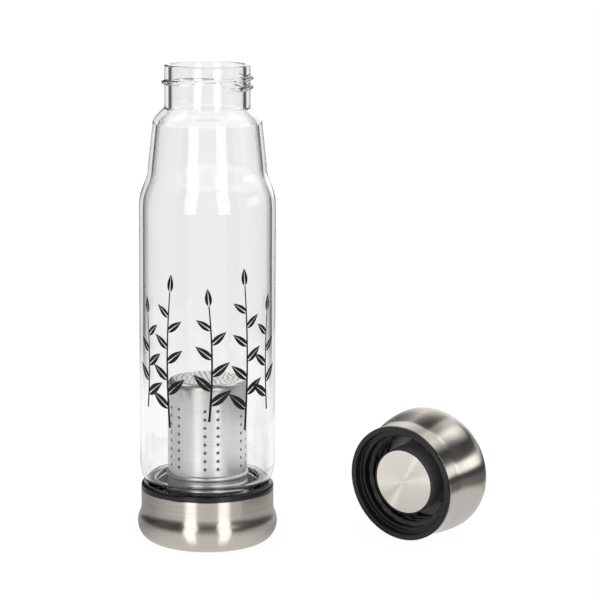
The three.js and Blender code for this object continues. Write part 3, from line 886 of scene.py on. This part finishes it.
def lay_cap(points, faces, uvs):
    """Moves a surface from the cap's own frame, mouth at height 0, to where the cap lies: about its
    middle it leans back until it lies on its side, turns to the left and goes to its place."""
    lean = cap_tilt - np.pi / 2
    turn = -np.radians(CAP_TURN)
    x, y, z = (points - [0, 0, CAP_HEIGHT / 2]).T
    y, z = y * np.cos(lean) - z * np.sin(lean), y * np.sin(lean) + z * np.cos(lean)
    x, y = x * np.cos(turn) - y * np.sin(turn), x * np.sin(turn) + y * np.cos(turn)
    middle = CAP_SKIRT_RADIUS * np.cos(cap_tilt) + CAP_HEIGHT / 2 * np.sin(cap_tilt)
    return np.stack([x + CAP_PLACE[0], y + CAP_PLACE[1], z + middle], 1), faces, uvs


cap_outline = join(
    (0, CAP_HEIGHT - STEEL_WALL),
    line((cap_flat, CAP_HEIGHT - STEEL_WALL)),
    arc((cap_flat, cap_bulge_height), CAP_CORNER - STEEL_WALL, 90, 0, 12),
    cap_inner_side[::-1],
    line((cap_inner, cap_rim)),
    arc((CAP_SKIRT_RADIUS - rim_round, cap_rim), rim_round, 180, 360),
    line((CAP_SKIRT_RADIUS, CAP_SKIRT_END)),
    cap_side,
    arc((cap_flat, cap_bulge_height), CAP_CORNER, 0, 90, 24),
    line((0, CAP_HEIGHT), 6),
)
cap_shell = make_piece("cap_steel", *lay_cap(*turned(cap_outline)), brushed_steel)
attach(cap_shell, "cap")
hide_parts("cap_shell")


# Cap liner: one black moulding glued into the steel, with a flat lip round the mouth, a step down
# to a threaded ring-shaped socket for the neck, and a plug that fills the neck's bore. The side of
# the plug is painted a lighter grey than the rest: painted light for the lamp light falling on it.
CAP_LIP_INNER = 26.7
CAP_LIP_HEIGHT = 1.25
CAP_SOCKET_RADIUS = 23.5
CAP_SOCKET_DEPTH = 25.1
CAP_STEP_DEPTH = 3.6
CAP_STEP_ROUND = 0.5
CAP_STEP_FILLET = 0.4
CAP_STEP_DRAFT = 0.5
CAP_LIP_EDGE = 0.35
CAP_GRIP_RADIUS = 28.0
CAP_TUBE_RADIUS = 25.3
CAP_LINER_TOP = 27.1
PLUG_RADIUS = 16.6
PLUG_FACE = 3.9
PLUG_EDGE = 3.1
PLUG_WALL = 2.2
PLUG_RIM = 0.2
PAINTED_LIGHT_INSET = 0.05
# Painted light: the lighter grey of the plug's side stands in for lamp light falling on it.
PLUG_PAINTED_LIGHT = (0.15, 0.15, 0.144, 1)
CAP_THREAD = (CAP_SOCKET_RADIUS, 5.4, 3.2, NECK_LEAD, 2.2, -2.0)

plug_inner = PLUG_RADIUS - PLUG_WALL
step_wall = CAP_LIP_INNER - CAP_STEP_DRAFT
plug_end = join(
    (0, PLUG_FACE),
    line((PLUG_RADIUS - 3 * PLUG_RIM, PLUG_FACE), 4),
    line((PLUG_RADIUS - 2 * PLUG_RIM, PLUG_EDGE), 2),
    arc((PLUG_RADIUS - PLUG_RIM, PLUG_EDGE), PLUG_RIM, 180, 360, 8),
)
plug_half = (CAP_SOCKET_DEPTH - PLUG_EDGE) / 2
plug_middle = float(lengths(plug_end)[-1]) + plug_half
# The grey band on the plug's side is painted light, not a colour of the plastic.
cap_plastic = plastic_material(
    "cap_plastic", PLASTIC_BLACK, PLASTIC_WORN, **PLASTIC_FINISH,
    painted_light=(PLUG_PAINTED_LIGHT, plug_middle, plug_half - PAINTED_LIGHT_INSET),
)
cap_liner_outline = join(
    plug_end,
    line((PLUG_RADIUS, CAP_SOCKET_DEPTH), 8),
    line((CAP_SOCKET_RADIUS, CAP_SOCKET_DEPTH), 3),
    *rounded((CAP_SOCKET_RADIUS, CAP_STEP_DEPTH), CAP_STEP_ROUND, 180, 84, 5),
    *rounded((step_wall, CAP_STEP_DEPTH), CAP_STEP_FILLET, 90, 2, 5, -90),
    line((CAP_LIP_INNER - 0.3, 0.5), 3),
    bezier((CAP_LIP_INNER - 0.3, 0.5), (CAP_LIP_INNER - 0.27, 0.15), (CAP_LIP_INNER - 0.05, 0),
           (CAP_LIP_INNER + 0.2, 0), 6),
    *rounded((CAP_SKIRT_RADIUS, 0), CAP_LIP_EDGE, -90, 3, 6),
    line((CAP_SKIRT_RADIUS, CAP_LIP_HEIGHT), 2),
    line((CAP_GRIP_RADIUS, CAP_LIP_HEIGHT), 2),
    line((CAP_GRIP_RADIUS, CAP_SKIRT_END)),
    line((CAP_TUBE_RADIUS, CAP_SKIRT_END), 2),
    line((CAP_TUBE_RADIUS, CAP_LINER_TOP)),
    line((plug_inner, CAP_LINER_TOP), 3),
    line((plug_inner, PLUG_FACE + PLUG_WALL)),
    line((0, PLUG_FACE + PLUG_WALL)),
)
cap_liner = make_piece("cap_liner", *lay_cap(*turned(cap_liner_outline, CAP_THREAD)), cap_plastic)
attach(cap_liner, "cap")
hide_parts("cap_insert")


# Cap disc: a steel disc let into the end of the plug, turned in fine rings that spread the light
# into a fan.
CAP_DISC_RADIUS = 15.95
CAP_DISC_FACE = 3.3
CAP_DISC_BACK = 3.85

cap_disc = make_piece(
    "cap_plug_disc",
    *lay_cap(*turned(disc_outline(CAP_DISC_RADIUS, CAP_DISC_FACE, CAP_DISC_BACK))),
    turned_steel,
)
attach(cap_disc, "cap")
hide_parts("cap_disc")


# Cap seal: a flat ring of the same grey silicone on the floor of the cap's socket, where the rim of
# the neck presses on it.
cap_seal_top = CAP_SOCKET_DEPTH - SEAT_GAP
cap_seal_outline = soft_ring(
    PLUG_RADIUS + SEAT_GAP, CAP_SOCKET_RADIUS - SEAT_GAP, cap_seal_top - SEAL_THICKNESS, cap_seal_top
)
cap_seal = make_piece("cap_seal_ring", *lay_cap(*turned(cap_seal_outline, ring=True)), grey_silicone)
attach(cap_seal, "cap")
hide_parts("cap_seal")


# Table, light and camera: a plain white table without an edge in a white surround, with two tall
# soft lamps in front and one for the disc in the cap. Steel mirrors a studio with panels in it, a
# painted pool of light on the table and painted glowing cards; glass mirrors painted dark flags.
TABLE_HALF = 4.0
TABLE_DROP = 0.0003
TABLE_WHITE = (0.82, 0.82, 0.815, 1)
TABLE_SHINE = 0.88
TABLE_LEVEL = 1.06
TABLE_GLASS_LEVEL = 0.98
# The flags, strips and cap spot are painted light and shade that only mirrored rays see.
FLAG_LEVEL = 0.05
STRIP_LEVEL = 2.0
CAP_SPOT = 0.145
ROOM_DARK = 0.03
ROOM_FRONT = 0.34
BACKDROP_LEVEL = 1.4
HIGH_LEVEL = 1.3
TOP_LEVEL = 2.6
LOW_LEVELS = (0.75, 2.6)
DIFFUSE_LEVEL = 0.75
# Cards: painted reflections, glowing sheets that steel mirrors in place of the other piece.
CARDS = (
    ("base_card", 0.068, ((-0.055, 0), (-0.055, 0.06), (0.1, 0.06), (0.1, 0)),
     ((0, 0.6), (0.0165, ROOM_DARK))),
    ("strainer_card", 0.043, ((-0.065, 0.036), (-0.065, 0.1), (0.08, 0.1), (0.08, 0.03)),
     ((0, 0.95), (0.057, 0.5))),
    ("cap_card", 0.045, ((-0.04, 0), (0.09, 0), (0.09, 0.1), (-0.04, 0.1)), ((0, 1.0),)),
)
LAMP_DISTANCE = 1.5
LAMP_RISE = 16
LAMP_SIZE = (0.56, 1.2)
LAMP_POWER = 5.1
LAMP_AIM = np.array([0.04, 0.0, 0.1])
CAMERA_PLACE = (0.0, -1.203, 0.326)
CAMERA_PITCH = 9.75
CAMERA_LENS = 150.96
CAMERA_SHIFT = 0.1543


def product(tree, *values):
    """All the sockets or numbers multiplied."""
    result = values[0]
    for value in values[1:]:
        result = maths(tree, "MULTIPLY", result, value)
    return result


def fade(tree, value, start, end, low=0.0, high=1.0):
    """A smooth step of a value from low at start to high at end."""
    return ramp(tree, value, start, end, low, high, "SMOOTHSTEP")


def band(tree, value, low_start, low_end, high_start, high_end):
    """A smooth plateau over a value."""
    return product(tree, fade(tree, value, low_start, low_end), fade(tree, value, high_end, high_start))


def bearings(tree, vector):
    """Parts of a direction or place: its coordinates, how far it lies to the right and to the
    front, and its level distance."""
    x, y, z = split(tree, vector)
    squared = maths(tree, "ADD", product(tree, x, x), product(tree, y, y))
    length = maths(tree, "SQRT", maths(tree, "MAXIMUM", squared, 1e-8))
    right = maths(tree, "DIVIDE", x, length)
    front = product(tree, maths(tree, "DIVIDE", y, length), -1.0)
    return (x, y, z), right, front, length


def dark_flags(tree, right, front):
    """Level of painted dark screens between the four sides, which only rays mirrored inside the wall
    of the glass see, and which paint the dark edges of the glass.
    """
    double = maths(tree, "ABSOLUTE", product(tree, right, front, 2.0))
    return fade(tree, double, 0.88, 0.96, 1.0, FLAG_LEVEL)


def ray_kinds(tree):
    """Light path switches: all that there are, a view through glass, any mirrored ray, and one that
    was mirrored inside the wall of the glass."""
    path = tree.nodes.new("ShaderNodeLightPath").outputs
    mirrored = maths(tree, "GREATER_THAN", path["Glossy Depth"], 0.5)
    through = path["Is Transmission Ray"]
    thin = maths(tree, "LESS_THAN", path["Transmission Depth"], 3.5)
    return path, through, mirrored, product(tree, mirrored, through, thin)


def table_levels(tree):
    """What mirrored rays see of the table, all painted: a pool of light with two strips of painted
    lamp reflection in front of the bottle, a painted spot of light beside the cap, and the painted
    dark flags that draw the edges of the glass."""
    (x, y, z), right, front, length = bearings(tree, coords(tree)["Object"])
    near = fade(tree, front, -0.3, 0.95, 0.42, 0.9)
    far = fade(tree, front, -0.6, 0.6, 1.0, 1.4)
    pool = product(
        tree, blend(tree, fade(tree, length, 0.17, 0.25), near, far),
        fade(tree, length, 0.34, 0.56, 1.0, 0.15), fade(tree, x, 0.19, 0.23, 1.0, 0.16),
    )
    spread = maths(tree, "DIVIDE", 0.0011, product(tree, length, length))
    side = maths(tree, "ABSOLUTE", product(tree, right, maths(tree, "ADD", spread, 1.0)))
    strips = product(
        tree, band(tree, side, 0.25, 0.35, 0.56, 0.66), fade(tree, front, 0.0, 0.3),
        fade(tree, length, 0.022, 0.05, 0.2, STRIP_LEVEL), fade(tree, length, 0.26, 0.18),
    )
    aside = maths(tree, "SUBTRACT", x, CAP_SPOT)
    squared = maths(tree, "ADD", product(tree, aside, aside), product(tree, y, y))
    spot = fade(tree, maths(tree, "SQRT", squared), 0.075, 0.05, 0.0, 0.85)
    pool = maths(tree, "MAXIMUM", maths(tree, "MAXIMUM", pool, strips), spot)
    return pool, blend(tree, fade(tree, length, 0.32, 0.6), 1.0, dark_flags(tree, right, front))


def show_glow(tree, share, plain, level):
    """Ends a stage material: a plain shader that turns into a glow of a level by a share."""
    glow = add_node(tree, "ShaderNodeEmission", {"Strength": level}).outputs[0]
    mix = add_node(tree, "ShaderNodeMixShader", {0: share, 1: plain, 2: glow}).outputs[0]
    feed(tree, tree.nodes["Material Output"], {"Surface": mix})


table_material, tree, shader = new_material(
    "white_table", {"Roughness": 0.9, "Specular IOR Level": 0.0, "Base Color": TABLE_WHITE}
)
table_material.cycles.emission_sampling = "NONE"
pool, flags = table_levels(tree)
path, through, mirrored, in_wall = ray_kinds(tree)
plain = blend(tree, path["Is Camera Ray"], TABLE_GLASS_LEVEL, TABLE_LEVEL)
table_level = blend(tree, mirrored, plain, blend(tree, in_wall, pool, flags))
seen = maths(tree, "MAXIMUM", path["Is Camera Ray"], through)
table_share = maths(tree, "MAXIMUM", mirrored, product(tree, seen, TABLE_SHINE))
show_glow(tree, table_share, shader.outputs[0], table_level)


def stage_sheet(name, corners, material):
    """A flat sheet through four corners, in metres, that belongs to the stage."""
    mesh = bpy.data.meshes.new(name)
    mesh.from_pydata(np.asarray(corners, float).tolist(), [], [[0, 1, 2, 3]])
    mesh.materials.append(material)
    sheet = put_object(name, mesh)
    return sheet


table_corners = TABLE_HALF * np.array([[-1, -1, 0], [1, -1, 0], [1, 1, 0], [-1, 1, 0]])
stage_sheet("table", table_corners - [0, 0, TABLE_DROP], table_material)


def glow_card(name, place, corners, stops):
    """A glowing card across the x axis that shows only its front, and only as a painted reflection in
    place of the other piece, so that the bottle and the cap do not mirror each other. The stops are
    heights, each with the painted level above it."""
    material, tree, shader = new_material(name, {})
    material.cycles.emission_sampling = "NONE"
    path, through, mirrored, in_wall = ray_kinds(tree)
    behind = tree.nodes.new("ShaderNodeNewGeometry").outputs["Backfacing"]
    hidden = maths(tree, "MAXIMUM", in_wall, behind)
    height = split(tree, coords(tree)["Object"])["Z"]
    level = stops[0][1]
    for stop, next_level in stops[1:]:
        level = blend(tree, fade(tree, height, stop - 0.001, stop + 0.001), level, next_level)
    clear = add_node(tree, "ShaderNodeBsdfTransparent").outputs[0]
    show_glow(tree, product(tree, mirrored, maths(tree, "SUBTRACT", 1.0, hidden)), clear, level)
    tree.nodes.remove(shader)
    card = stage_sheet(name, [(place, *corner) for corner in corners], material)
    card.visible_camera = False
    card.visible_diffuse = False
    card.visible_shadow = False


for card in CARDS:
    glow_card(*card)

surround = bpy.data.worlds.new("surround")
surround.use_nodes = True
surround.cycles.sampling_method = "NONE"
bpy.context.scene.world = surround
sky = surround.node_tree
(x, y, z), right, front, length = bearings(sky, coords(sky)["Generated"])
backdrop = product(
    sky, fade(sky, front, -0.8, -0.88), fade(sky, z, 0.72, 0.66),
    fade(sky, right, -0.11, -0.05, 0.0, BACKDROP_LEVEL),
)
opening = product(sky, fade(sky, front, 0.93, 0.985, 0.0, ROOM_FRONT), fade(sky, z, 0.6, 0.4))
high_panel = product(
    sky, band(sky, front, -0.9, -0.8, -0.2, 0.0), band(sky, z, 0.58, 0.66, 0.86, 0.93), HIGH_LEVEL
)
top_panel = product(
    sky, band(sky, front, -0.6, -0.48, -0.12, 0.02), band(sky, z, 0.7, 0.75, 0.87, 0.92), TOP_LEVEL
)
low_panel = product(
    sky, fade(sky, right, 0.2, 0.5), band(sky, front, -0.9, -0.7, 0.25, 0.38),
    band(sky, z, 0.02, 0.1, 0.26, 0.36), fade(sky, front, -0.24, -0.1, *LOW_LEVELS),
)
room = ROOM_DARK
for part in (backdrop, opening, high_panel, top_panel, low_panel):
    room = maths(sky, "MAXIMUM", room, part)
path, through, mirrored, in_wall = ray_kinds(sky)
sky_level = blend(sky, mirrored, 1.0, blend(sky, in_wall, room, dark_flags(sky, right, front)))
sky_level = blend(sky, path["Is Diffuse Ray"], sky_level, DIFFUSE_LEVEL)
feed(sky, sky.nodes["Background"], {"Strength": sky_level, "Color": (1, 1, 1, 1)})


def soft_lamp(name, azimuth, elevation, size, power):
    """A rectangular lamp at an azimuth from the front (positive to the right) and an elevation, in
    degrees, that faces the bottle."""
    lamp = bpy.data.lights.new(name, "AREA")
    lamp.shape = "RECTANGLE"
    lamp.size, lamp.size_y = size
    lamp.energy = power
    stand = put_object(name, lamp)
    turn = np.radians(azimuth)
    rise = np.radians(elevation)
    stand.location = LAMP_AIM + LAMP_DISTANCE * round_axis(np.cos(rise), turn, np.sin(rise))
    stand.rotation_euler = (np.pi / 2 - rise, 0, turn)
    stand.visible_camera = False
    return stand


def link_disc(lamp, state):
    """Light linking for the disc in the cap: the lamp lights only it, or all but it."""
    group = bpy.data.collections.new(lamp.name + "_link")
    group.objects.link(cap_disc)
    group.collection_objects[0].light_linking.link_state = state
    lamp.light_linking.receiver_collection = group


link_disc(soft_lamp("left_lamp", -30.5, LAMP_RISE, LAMP_SIZE, LAMP_POWER), "EXCLUDE")
link_disc(soft_lamp("right_lamp", 27.5, LAMP_RISE, LAMP_SIZE, LAMP_POWER), "EXCLUDE")
link_disc(soft_lamp("disc_lamp", -46, 14, (0.15, 0.5), 3.0), "INCLUDE")

camera_data = bpy.data.cameras.new("camera")
camera_data.lens = CAMERA_LENS
camera_data.sensor_width = 36
camera_data.shift_x = CAMERA_SHIFT
camera = put_object("camera", camera_data)
camera.location = CAMERA_PLACE
camera.rotation_euler = (np.radians(90 - CAMERA_PITCH), 0, 0)
bpy.context.scene.camera = camera
bpy.context.scene.view_settings.view_transform = "Standard"
